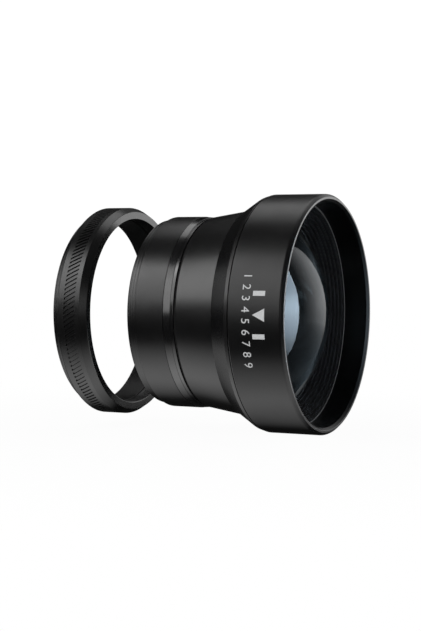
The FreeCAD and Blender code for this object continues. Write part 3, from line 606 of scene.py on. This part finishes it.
class RearBarrelOperator(bpy.types.Operator):
    """Builds the rear barrel with the seat face"""
    bl_idname = "lens.rear_barrel"
    bl_label = "Rear barrel"

    def execute(self, context):
        size = context.scene.lens_sizes
        rear, sleeve_end, radius = span("rear_barrel")
        barrel_end = span("trim_band")[0]
        register_end = span("mount_ring")[1]
        web_end = span("cell_shim")[0]
        sleeve = span("stop_plate")[2]
        bore = span("cell_shim")[2] + size.fit_gap
        mouth = span("mount_screws")[2]
        bevel = 3 * size.fit_gap
        edge = size.edge_round
        outline = [
            (rear, mouth, 0.0),
            (register_end + size.fit_gap, mouth, 0.0),
            (register_end + size.fit_gap, size.rear_bore, 0.0),
            (web_end, size.rear_bore, 0.0),
            (web_end, bore, 0.0),
            (sleeve_end, bore, 0.0),
            (sleeve_end, sleeve, 0.0),
            (barrel_end, sleeve, 0.0),
            (barrel_end, radius, edge),
            (rear + bevel, radius, edge * 2),
            (rear, radius - bevel, edge),
        ]
        piece = lathe("rear_tube", rounded(outline), size.segments)
        dress(piece, "lens", "barrel_finish", "barrel_black", "rear_barrel")
        return {"FINISHED"}


class BandOperator(bpy.types.Operator):
    """Builds the bright band and the rubber seal ahead of it"""
    bl_idname = "lens.band"
    bl_label = "Band and seal"

    def execute(self, context):
        size = context.scene.lens_sizes
        rear, front, radius = span("trim_band")
        bore = span("stop_plate")[2] + size.fit_gap
        bright = radius - size.band_taper
        step = rear + size.band_width
        edge = size.edge_round
        band = [
            (rear + size.fit_gap, bore, 0.0),
            (front, bore, 0.0),
            (front, bright - size.band_step, edge),
            (step, bright - size.band_step, 0.0),
            (step, bright, edge / 2),
            (rear + size.fit_gap, radius - size.fit_gap, edge),
        ]
        piece = lathe("bright_band", rounded(band), size.segments)
        dress(piece, "lens", "band_finish", "band_black", "trim_band")
        rear, front, radius = span("joint_seal")
        top = radius - size.seal_sink
        seal = [
            (rear, bore, 0.0),
            (front, bore, 0.0),
            (front, top, edge * 2),
            (rear, top, edge * 2),
        ]
        piece = lathe("rubber_seal", rounded(seal), size.segments)
        dress(piece, "lens", "seal_rubber", "seal_rubber", "joint_seal")
        return {"FINISHED"}


# Pitches over which a thread fades out at its ends, and rows of points along one pitch
THREAD_FADE = 0.4
THREAD_ROWS = 8


def thread_relief(size, start, end, radius, depth, inside=False):
    """Shallow helical thread on the face of a radius between two ends."""
    fade = THREAD_FADE * size.thread_pitch
    way = -1.0 if inside else 1.0

    def relief(x, r, angle):
        if abs(r - radius) > SAME or not start < x < end:
            return x, r, angle
        turn = x / size.thread_pitch - angle / (2 * math.pi)
        wave = abs(2.0 * (turn - math.floor(turn)) - 1.0)
        fade_in = min(1.0, (x - start) / fade, (end - x) / fade)
        return x, r - way * depth * wave * fade_in, angle

    return relief


def fine_rows(start, end, radius, pitch):
    """Corners along a face, close enough together to carry a thread."""
    count = max(2, round((end - start) / (pitch / THREAD_ROWS)))
    return [(start + (end - start) * i / count, radius, 0.0) for i in range(1, count)]


class MountRingOperator(bpy.types.Operator):
    """Builds the rear ring with its fine thread"""
    bl_idname = "lens.mount_ring"
    bl_label = "Mount ring"

    def execute(self, context):
        size = context.scene.lens_sizes
        rear, front, radius = span("mount_ring")
        seat = span("rear_barrel")[0]
        register = span("mount_screws")[2] - size.fit_gap
        start = rear + size.nose_chamfer
        edge = size.edge_round
        outline = [
            (rear, size.rear_bore, edge),
            (front, size.rear_bore, 0.0),
            (front, register, 0.0),
            (seat, register, 0.0),
            (seat, radius, 0.0),
        ]
        outline += reversed(fine_rows(start, seat, radius, size.thread_pitch))
        outline += [(start, radius, 0.0), (rear, radius - size.nose_chamfer, edge)]
        relief = thread_relief(size, start, seat, radius, size.worn_relief)
        piece = lathe("rear_thread_ring", rounded(outline), size.segments, relief)
        dress(piece, "lens", "barrel_finish", "barrel_black", "mount_ring")
        return {"FINISHED"}


class BaffleOperator(bpy.types.Operator):
    """Builds the stepped ring around the front glass"""
    bl_idname = "lens.baffle"
    bl_label = "Stepped ring"

    def execute(self, context):
        size = context.scene.lens_sizes
        rear, front, flange = span("baffle_ring")
        hood = span("hood_shell")[2]
        body = hood - size.hood_socket_wall - size.sleeve_wall - 2 * size.fit_gap
        flange_rear = front - size.baffle_flange + size.fit_gap
        first = size.glass_clear + size.baffle_lip
        last = flange - size.baffle_lip
        tread_end = flange_rear + size.baffle_lip
        risers = size.baffle_steps - 1
        run = (tread_end - rear) / risers
        edge = size.edge_round
        outline = []
        for i in range(risers):
            level = first + (last - first) * i / risers
            outline.append((rear + run * i, level, 0.0 if i else edge / 2))
            outline.append((rear + run * (i + 1), level, edge / 2))
        outline += [
            (tread_end, last, 0.0),
            (front, last, edge / 2),
            (front, flange, edge / 2),
            (flange_rear, flange, 0.0),
            (flange_rear, body, 0.0),
            (rear, body, 0.0),
        ]
        piece = lathe("stepped_ring", rounded(outline), size.segments)
        dress(piece, "lens", "matt_black", "step_black", "baffle_ring")
        # Front edge painted light grey as a highlight
        add_finish(piece, "edge_painted_highlight", lambda x, r: x > front - edge)
        return {"FINISHED"}


class FrontGlassOperator(bpy.types.Operator):
    """Builds the domed, cemented front glass"""
    bl_idname = "lens.front_glass"
    bl_label = "Front glass"

    def execute(self, context):
        size = context.scene.lens_sizes
        seat, _, radius = span("front_flint_lens")
        vertex = span("front_crown_lens")[1]
        hollow = seat + sag(size.flint_curve, size.flint_clear)
        rear_face = sphere_arc(hollow, size.flint_curve, size.flint_clear)
        front_face = sphere_arc(vertex, size.front_curve, radius)
        outline = rear_face + [(seat, radius)] + list(reversed(front_face))
        piece = lathe_solid("front_glass", outline, size.segments)
        nodes = ("front_crown_lens", "front_flint_lens")
        dress(piece, "lens", "coated_glass", "front_glass", *nodes)
        add_finish(piece, "seal_rubber", lambda x, r: r > size.glass_clear)
        return {"FINISHED"}


class InsideOperator(bpy.types.Operator):
    """Finishes the liner and the rear glasses"""
    bl_idname = "lens.inside"
    bl_label = "Inner pieces"

    def execute(self, context):
        repaint("light_trap_liner", "liner_grey")
        repaint("rear_concave_lens", "rear_glass")
        repaint("rear_meniscus_lens", "rear_glass")
        return {"FINISHED"}


class AdapterOperator(bpy.types.Operator):
    """Builds the adapter's sleeve with its rear thread"""
    bl_idname = "lens.adapter"
    bl_label = "Adapter sleeve"

    def execute(self, context):
        size = context.scene.lens_sizes
        rear, front, flange = span("adapter_sleeve")
        neck_end = rear + size.neck_length
        flange_rear = front - size.flange_length
        tube = size.tube_bore + size.tube_wall
        start = rear + 3 * size.thread_relief
        edge = size.edge_round
        bevel = 2 * size.thread_relief
        outline = [
            (rear, size.tube_bore + bevel, edge),
            (rear + bevel, size.tube_bore, edge),
            (front, size.tube_bore, edge),
            (front, flange, edge),
            (flange_rear, flange, 0.0),
            (flange_rear, tube, 0.0),
            (neck_end, tube, 0.0),
            (neck_end, size.neck_radius, 0.0),
        ]
        outline += reversed(fine_rows(start, neck_end, size.neck_radius, size.thread_pitch))
        outline += [(start, size.neck_radius, 0.0), (rear, size.neck_radius - (start - rear), edge)]
        relief = thread_relief(size, start, neck_end, size.neck_radius, size.thread_relief)
        piece = lathe("adapter_tube", rounded(outline), size.segments, relief)
        dress(piece, "adapter", "adapter_finish", "barrel_black", "adapter_sleeve")
        repaint("slip_washer", "matt_black")
        return {"FINISHED"}


# Width of a groove's sloping side, as a share of the grooves' pitch
GROOVE_EDGE = 0.06
# Length of a groove's sloping ends in groove depths, and rows of points along the grip
GROOVE_RAMP = 0.6
GRIP_ROWS = 10


class CollarOperator(bpy.types.Operator):
    """Builds the grip collar with its slanted grooves"""
    bl_idname = "lens.collar"
    bl_label = "Grip collar"

    def execute(self, context):
        size = context.scene.lens_sizes
        rear, front, radius = span("knurled_collar")
        shoulder = front - size.collar_thread
        face = radius - size.collar_drop
        cone_start = front - size.collar_cone
        corner = size.edge_round * 2
        rear_bevel = 1.5 * corner
        bevel = 2 * size.thread_relief
        grip_start = rear + size.groove_start
        grip_end = grip_start + size.groove_length
        edge = size.edge_round
        outline = [
            (rear, size.collar_recess, 0.0),
            (shoulder, size.collar_recess, 0.0),
            (shoulder, size.collar_bore, 0.0),
        ]
        outline += fine_rows(shoulder, front - bevel, size.collar_bore, size.thread_pitch)
        outline += [
            (front - bevel, size.collar_bore, 0.0),
            (front, size.collar_bore + bevel, edge),
            (front, face - corner, edge),
            (front - corner, face, edge),
            (cone_start, radius, edge * 2),
        ]
        ramp = size.groove_depth * GROOVE_RAMP
        deep_length = grip_end - grip_start - 2 * ramp
        outline.append((grip_end, radius, 0.0))
        for i in range(GRIP_ROWS, -1, -1):
            outline.append((grip_start + ramp + deep_length * i / GRIP_ROWS, radius, 0.0))
        outline += [
            (grip_start, radius, 0.0),
            (rear + rear_bevel + corner, radius, edge),
            (rear, radius - rear_bevel, edge),
        ]
        thread = thread_relief(
            size, shoulder, front - bevel, size.collar_bore, size.thread_relief, inside=True)
        pitch = 2 * math.pi / size.groove_count
        share = size.groove_width / math.cos(size.groove_slant) / radius / pitch
        twist = math.tan(size.groove_slant) / radius
        middle = (grip_start + grip_end) / 2
        inside = face - size.collar_drop / 2
        land = [0.0, (1 - share) / 2, 1 - share]
        stations = land + [1 - share + GROOVE_EDGE, 1 - share / 2, 1 - GROOVE_EDGE]
        columns = len(stations)

        def relief(x, r, turn):
            index = round(turn / (2 * math.pi) * size.groove_count * columns)
            groove, column = divmod(index, columns)
            angle = (groove + stations[column]) * pitch
            slide = min(max(x, grip_start), grip_end) - middle
            if r < inside:
                x, r, _ = thread(x, r, angle)
            elif (column >= len(land) and abs(r - radius) < SAME
                    and grip_start + ramp / 2 < x < grip_end - ramp / 2):
                r -= size.groove_depth
            return x, r, angle - slide * twist

        piece = lathe("grip_collar", rounded(outline), size.groove_count * columns, relief)
        dress(piece, "collar", "collar_finish", "collar_black", "knurled_collar")
        add_finish(piece, "face_black", lambda x, r: x > front - edge / 4)
        repaint("collar_back_ring", "barrel_black")
        return {"FINISHED"}


# Font size of a number of height 1, and width of the strips that bend marks around the hood
FONT_SIZE = 1.4
CUT_STEP = 0.5 * MM


def glyph(text, height):
    """Flat mesh of a number, centred across and standing on its base line."""
    curve = bpy.data.curves.new("number", "FONT")
    curve.body = text
    curve.align_x = "CENTER"
    curve.size = height * FONT_SIZE
    holder = bpy.data.objects.new("number", curve)
    bpy.context.scene.collection.objects.link(holder)
    bpy.context.view_layer.update()
    work = bmesh.new()
    mesh = bpy.data.meshes.new_from_object(holder)
    work.from_mesh(mesh)
    bpy.data.objects.remove(holder)
    bpy.data.curves.remove(curve)
    bpy.data.meshes.remove(mesh)
    return work


def plate(corners):
    """Flat mesh of one outline."""
    work = bmesh.new()
    work.faces.new([work.verts.new((a, b, 0.0)) for a, b in corners])
    return work


def wrap(name, shapes, radius, base):
    """Thin painted marks around a barrel; each shape is a flat mesh and its place (along, up)."""
    joined = bmesh.new()
    for work, along, up in shapes:
        for vertex in work.verts:
            vertex.co.x += along
            vertex.co.y += up
        part = bpy.data.meshes.new("part")
        work.to_mesh(part)
        work.free()
        joined.from_mesh(part)
        bpy.data.meshes.remove(part)
    bmesh.ops.remove_doubles(joined, verts=joined.verts, dist=SAME)
    low = min(vertex.co.x for vertex in joined.verts)
    high = max(vertex.co.x for vertex in joined.verts)
    for i in range(1, int((high - low) / CUT_STEP)):
        whole = joined.verts[:] + joined.edges[:] + joined.faces[:]
        place = (low + i * CUT_STEP, 0.0, 0.0)
        bmesh.ops.bisect_plane(joined, geom=whole, plane_co=place, plane_no=(1.0, 0.0, 0.0))
    faces = joined.faces[:]
    for face in faces:
        if face.normal.z < 0.0:
            face.normal_flip()
    raised = bmesh.ops.extrude_face_region(joined, geom=faces)
    bmesh.ops.delete(joined, geom=faces, context="FACES_ONLY")
    tops = {item for item in raised["geom"] if isinstance(item, bmesh.types.BMVert)}
    for vertex in joined.verts:
        level = radius if vertex in tops else radius - base
        angle = -vertex.co.x / radius
        vertex.co = Vector((vertex.co.y, -level * math.cos(angle), level * math.sin(angle)))
    mesh = bpy.data.meshes.new(name)
    bmesh.ops.recalc_face_normals(joined, faces=joined.faces)
    joined.to_mesh(mesh)
    joined.free()
    piece = bpy.data.objects.new(name, mesh)
    bpy.context.scene.collection.objects.link(piece)
    return piece


class MarksOperator(bpy.types.Operator):
    """Paints the index mark and the row of numbers on the hood"""
    bl_idname = "lens.marks"
    bl_label = "Marks"

    def execute(self, context):
        size = context.scene.lens_sizes
        rear, _, radius = span("hood_shell")
        top = radius - size.paint_depth / 4
        shapes = []
        for i in range(size.scale_count):
            along = size.scale_centre + size.scale_pitch * (i - (size.scale_count - 1) / 2)
            shapes.append((glyph(str(i + 1), size.scale_height), along, rear + size.scale_start))
        tall, wide = size.index_height, size.index_width
        bar = [(-wide / 2, 0.0), (wide / 2, 0.0), (wide / 2, tall), (-wide / 2, tall)]
        arrow = [(0.0, 0.0), (tall / 2, tall), (-tall / 2, tall)]
        for step, corners in ((-1.0, bar), (0.0, arrow), (1.0, bar)):
            shapes.append((plate(corners), step * size.index_pitch, rear + size.index_start))
        piece = wrap("hood_marks", shapes, top, size.paint_depth * 1.5)
        dress(piece, "lens", "hood_finish", "mark_white")
        return {"FINISHED"}


AIM = Vector((0.012, 0.0, 0.0))
LAMP_DISTANCE = 0.8
# Name, direction from the lens, width, height and level of each lamp
LAMPS = (
    ("near_box", (-0.22, -0.92, 0.34), 0.2, 0.58, 1.5),
    ("middle_box", (-0.45, -0.75, 0.49), 0.25, 0.56, 1.0),
    ("key_box", (-0.66, -0.555, 0.5), 0.32, 0.58, 2.0),
    ("rear_box", (-0.98, -0.05, 0.22), 0.3, 0.26, 0.7),
    ("top_box", (0.0, 0.41, 0.91), 0.78, 0.44, 1.1),
    ("fill_panel", (0.63, -0.77, -0.05), 0.4, 0.6, 0.45),
)
CAMERA_PLACE = Vector((0.20263, -0.40095, 0.00586))
CAMERA_RIGHT = Vector((0.90106, 0.43343, 0.01506))
CAMERA_UP = Vector((-0.02018, 0.00722, 0.99977))
CAMERA_BACK = Vector((0.43322, -0.90116, 0.01525))
FOCAL_MM = 90.0
SENSOR_MM = 36.0
CLIP_START = 0.01
FLOOR_SIZE = 6.0
# Backdrop behind the lens, around a point near its flare; its turns are in degrees
BACKDROP_X = 0.04
BACKDROP_RADIUS = 0.6
BACKDROP_HEIGHT = 0.5
BACKDROP_TURNS = (30.0, 125.0)
BACKDROP_STEPS = 24
BACKDROP_LEVEL = 0.8
# Turns, in radians, and heights between which the backdrop's light fades
FRONT_TURNS = (0.62, 1.08)
REAR_TURNS = (1.55, 2.05)
REAR_DROP = 0.76
LOW_LEVEL = 0.65
LOW_HEIGHTS = (-0.03, 0.04)
HIGH_HEIGHTS = (0.08, 0.25)
# Bright card in front of the glass: its planes along the axis, its corners, fades and light
GLOW_X = 0.09
GLOW_FOOT = 0.075
GLOW_FADE = 0.065
GLOW_LOW = (-0.012, -0.0325)
GLOW_HIGH = (0.0175, 0.045)
GLOW_RISE = (-0.03, 0.007)
GLOW_FALL = (0.008, 0.022)
GLOW_FOOT_LEVEL = 0.25
GLOW_TOP_DROP = 0.4
GLOW_TINT = (0.72, 0.87, 1.0)
GLOW_STRENGTH = 8.4
# Floor as the camera sees it: distances between which its shade ends, and how deep the shade is
OPEN_FLOOR = (0.07, 0.2)
FLOOR_SHADE = 0.035
# Floor as polished pieces see it: a painted strip of light beside the lens, with a painted shadow of the
# lens along its edge that is narrower where the barrel stands off the floor, and the distance beyond it
PAINTED_SHADOW_EDGE = (-0.01, -0.024)
STRIP_NEAR = (-0.059, -0.026)
STRIP_REAR = (-0.09, -0.045)
PAINTED_SHADOW_SHIFT = 0.004
PAINTED_SHADOW_SHIFT_X = (0.03, 0.0)
FAR_FLOOR = (0.09, 0.5)
FLOOR_DIM = 0.015
# Light of the surroundings for refracted, diffuse and glossy rays
ROOM_THROUGH = 0.1
ROOM_DIFFUSE = 0.35
ROOM_GLOSS = 0.02


def softbox(name, toward, width, height, level):
    """Rectangular lamp that faces the lens from a direction, at a plain level of light."""
    away = Vector(toward).normalized()
    lamp = bpy.data.lights.new(name, "AREA")
    lamp.shape = "RECTANGLE"
    lamp.size = width
    lamp.size_y = height
    lamp.energy = level * width * height * math.pi
    holder = bpy.data.objects.new(name, lamp)
    holder.location = AIM + away * LAMP_DISTANCE
    holder.rotation_euler = away.to_track_quat("Z", "Y").to_euler()
    holder.visible_camera = False
    holder.visible_transmission = False
    bpy.context.scene.collection.objects.link(holder)


def backdrop_level(nodes, x, y, z):
    """Level of the pale backdrop in a direction from the lens, brightest behind its front."""
    turn = nodes.add("ShaderNodeMath", {"operation": "ARCTAN2"}, [y, x - BACKDROP_X])
    rear = nodes.ramp(turn, *REAR_TURNS)
    low = LOW_LEVEL + nodes.ramp(z, *LOW_HEIGHTS) * (1 - LOW_LEVEL)
    front = nodes.ramp(turn, *FRONT_TURNS) * low
    return front * (BACKDROP_LEVEL - rear * REAR_DROP) * (1 - rear * nodes.ramp(z, *HIGH_HEIGHTS))


def glow_level(nodes, x, y, z):
    """Level of the bright card, dimmer at its foot and its top."""
    rise = GLOW_FOOT_LEVEL + nodes.ramp(z, *GLOW_RISE) * (1 - GLOW_FOOT_LEVEL)
    fall = 1 - nodes.ramp(z, *GLOW_FALL) * GLOW_TOP_DROP
    return rise * fall * nodes.ramp(x, GLOW_FADE, GLOW_X)


def studio_card(piece, level_of, tint, strength):
    """Makes a stage card that only glossy surfaces see."""
    material = bpy.data.materials.new(piece.name)
    nodes = Nodes(material)
    tinted = nodes.blend(level_of(nodes, *nodes.axes()), BLACK, tint)
    nodes.finish(nodes.add("ShaderNodeEmission", None, {"Color": tinted, "Strength": strength}))
    piece.data.materials.append(material)
    for ray in ("camera", "diffuse", "shadow", "transmission"):
        setattr(piece, f"visible_{ray}", False)
    return material


def backdrop(ground):
    """Pale, bent backdrop behind the lens."""
    low, high = (math.radians(turn) for turn in BACKDROP_TURNS)
    vertices, faces = [], []
    for i in range(BACKDROP_STEPS + 1):
        turn = low + (high - low) * i / BACKDROP_STEPS
        x = AIM.x + BACKDROP_RADIUS * math.cos(turn)
        y = BACKDROP_RADIUS * math.sin(turn)
        vertices += [(x, y, ground), (x, y, ground + BACKDROP_HEIGHT)]
    for i in range(BACKDROP_STEPS):
        faces.append((2 * i, 2 * i + 2, 2 * i + 3, 2 * i + 1))
    studio_card(add_mesh("backdrop", vertices, faces), backdrop_level, WHITE, 1.0)


def front_card():
    """Bright card in front of the glass, drawn in at its foot."""
    (left, bottom), (right, top) = GLOW_LOW, GLOW_HIGH
    foot = (left + 2 * right) / 3
    profile = [(GLOW_FOOT, foot, bottom), (GLOW_X, right, bottom), (GLOW_X, right, top)]
    vertices = [(x, y, z) for x, edge, z in profile for y in (left, edge)]
    card = add_mesh("front_card", vertices, [(0, 1, 3, 2), (2, 3, 5, 4)])
    material = studio_card(card, glow_level, GLOW_TINT, GLOW_STRENGTH)
    material.cycles.emission_sampling = "NONE"


def floor(ground, paint):
    """Pale floor that keeps the shadow; glossy surfaces see a painted strip of light on it, with a
    painted shadow next to the lens.
    """
    half = FLOOR_SIZE / 2
    corners = [(-half, -half), (half, -half), (half, half), (-half, half)]
    piece = add_mesh("floor", [(x, y, ground) for x, y in corners], [(0, 1, 2, 3)])
    material = bpy.data.materials.new("floor_white")
    nodes = Nodes(material)
    away = nodes.add("ShaderNodeVectorMath", {"operation": "LENGTH"}, [nodes.place()], "Value")
    plain = nodes.add("ShaderNodeBsdfDiffuse", None, {"Color": tuple(paint)})
    white = nodes.add("ShaderNodeEmission", None, {"Color": WHITE, "Strength": 1.0})
    shade = (1 - FLOOR_SHADE) + nodes.ramp(away, *OPEN_FLOOR) * FLOOR_SHADE
    seen = nodes.ray("Camera") * shade + nodes.ray("Transmission")
    shown = nodes.add("ShaderNodeMixShader", None, [seen, plain, white])
    x, y, z = nodes.axes()
    # Painted shadow of the lens in the floor's glow: dark next to the lens, narrower where the barrel
    # stands off the floor
    under = nodes.ramp(x, *PAINTED_SHADOW_SHIFT_X) * PAINTED_SHADOW_SHIFT
    painted_light_strip = nodes.ramp(y - under, *PAINTED_SHADOW_EDGE) * nodes.ramp(y, *STRIP_NEAR)
    painted_light_strip = painted_light_strip * nodes.ramp(x, *STRIP_REAR)
    distant = nodes.ramp(away, *FAR_FLOOR) * backdrop_level(nodes, x, y, z)
    glow = nodes.add("ShaderNodeEmission", None, {
        "Color": nodes.blend(painted_light_strip + distant + FLOOR_DIM, BLACK, WHITE), "Strength": 1.0})
    nodes.finish(nodes.add("ShaderNodeMixShader", None, [nodes.ray("Glossy"), shown, glow]))
    piece.data.materials.append(material)


def surroundings():
    """White world for the camera, and a soft, dim room for the light."""
    world = bpy.data.worlds.new("studio")
    nodes = Nodes(world)
    level = nodes.ray("Camera") + nodes.ray("Transmission") * ROOM_THROUGH
    level = level + nodes.ray("Diffuse") * ROOM_DIFFUSE + ROOM_GLOSS
    background = nodes.add("ShaderNodeBackground", None, {"Color": WHITE, "Strength": level})
    nodes.raw("ShaderNodeOutputWorld", None, {"Surface": background})
    bpy.context.scene.world = world


def camera():
    """Camera at the photograph's viewing angle."""
    data = bpy.data.cameras.new("camera")
    data.sensor_fit = "VERTICAL"
    data.sensor_height = SENSOR_MM
    data.lens = FOCAL_MM
    data.clip_start = CLIP_START
    holder = bpy.data.objects.new("camera", data)
    turn = Matrix((CAMERA_RIGHT, CAMERA_UP, CAMERA_BACK)).transposed()
    holder.matrix_world = Matrix.Translation(CAMERA_PLACE) @ turn.to_4x4()
    bpy.context.scene.collection.objects.link(holder)
    bpy.context.scene.camera = holder


class StageOperator(bpy.types.Operator):
    """Sets up the floor, the cards, the lamps and the camera"""
    bl_idname = "lens.stage"
    bl_label = "Stage"

    def execute(self, context):
        ground = CAD_BOX[0][2]
        floor(ground, context.scene.lens_colours.floor)
        backdrop(ground)
        front_card()
        surroundings()
        for lamp in LAMPS:
            softbox(*lamp)
        camera()
        context.scene.view_settings.view_transform = "Standard"
        return {"FINISHED"}


class LensPanel(bpy.types.Panel):
    """Lists the pieces and the stage"""
    bl_idname = "LENS_PT_pieces"
    bl_label = "Telephoto lens"
    bl_space_type = "VIEW_3D"
    bl_region_type = "UI"
    bl_category = "Lens"

    def draw(self, context):
        for operator in OPERATORS:
            self.layout.operator(operator.bl_idname)


OPERATORS = (
    HoodOperator,
    CasingOperator,
    RearBarrelOperator,
    BandOperator,
    MountRingOperator,
    BaffleOperator,
    FrontGlassOperator,
    InsideOperator,
    AdapterOperator,
    CollarOperator,
    MarksOperator,
    StageOperator,
)
CLASSES = (LensSizes, LensColours, *OPERATORS, LensPanel)


def register():
    """Registers the classes and the properties that they read."""
    for item in CLASSES:
        bpy.utils.register_class(item)
    bpy.types.Scene.lens_sizes = bpy.props.PointerProperty(type=LensSizes)
    bpy.types.Scene.lens_colours = bpy.props.PointerProperty(type=LensColours)


def unregister():
    """Takes them away again."""
    del bpy.types.Scene.lens_colours
    del bpy.types.Scene.lens_sizes
    for item in reversed(CLASSES):
        bpy.utils.unregister_class(item)


def main():
    """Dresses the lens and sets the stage."""
    register()
    for operator in OPERATORS:
        group, name = operator.bl_idname.split(".")
        getattr(getattr(bpy.ops, group), name)()


if __name__ == "__main__":
    main()
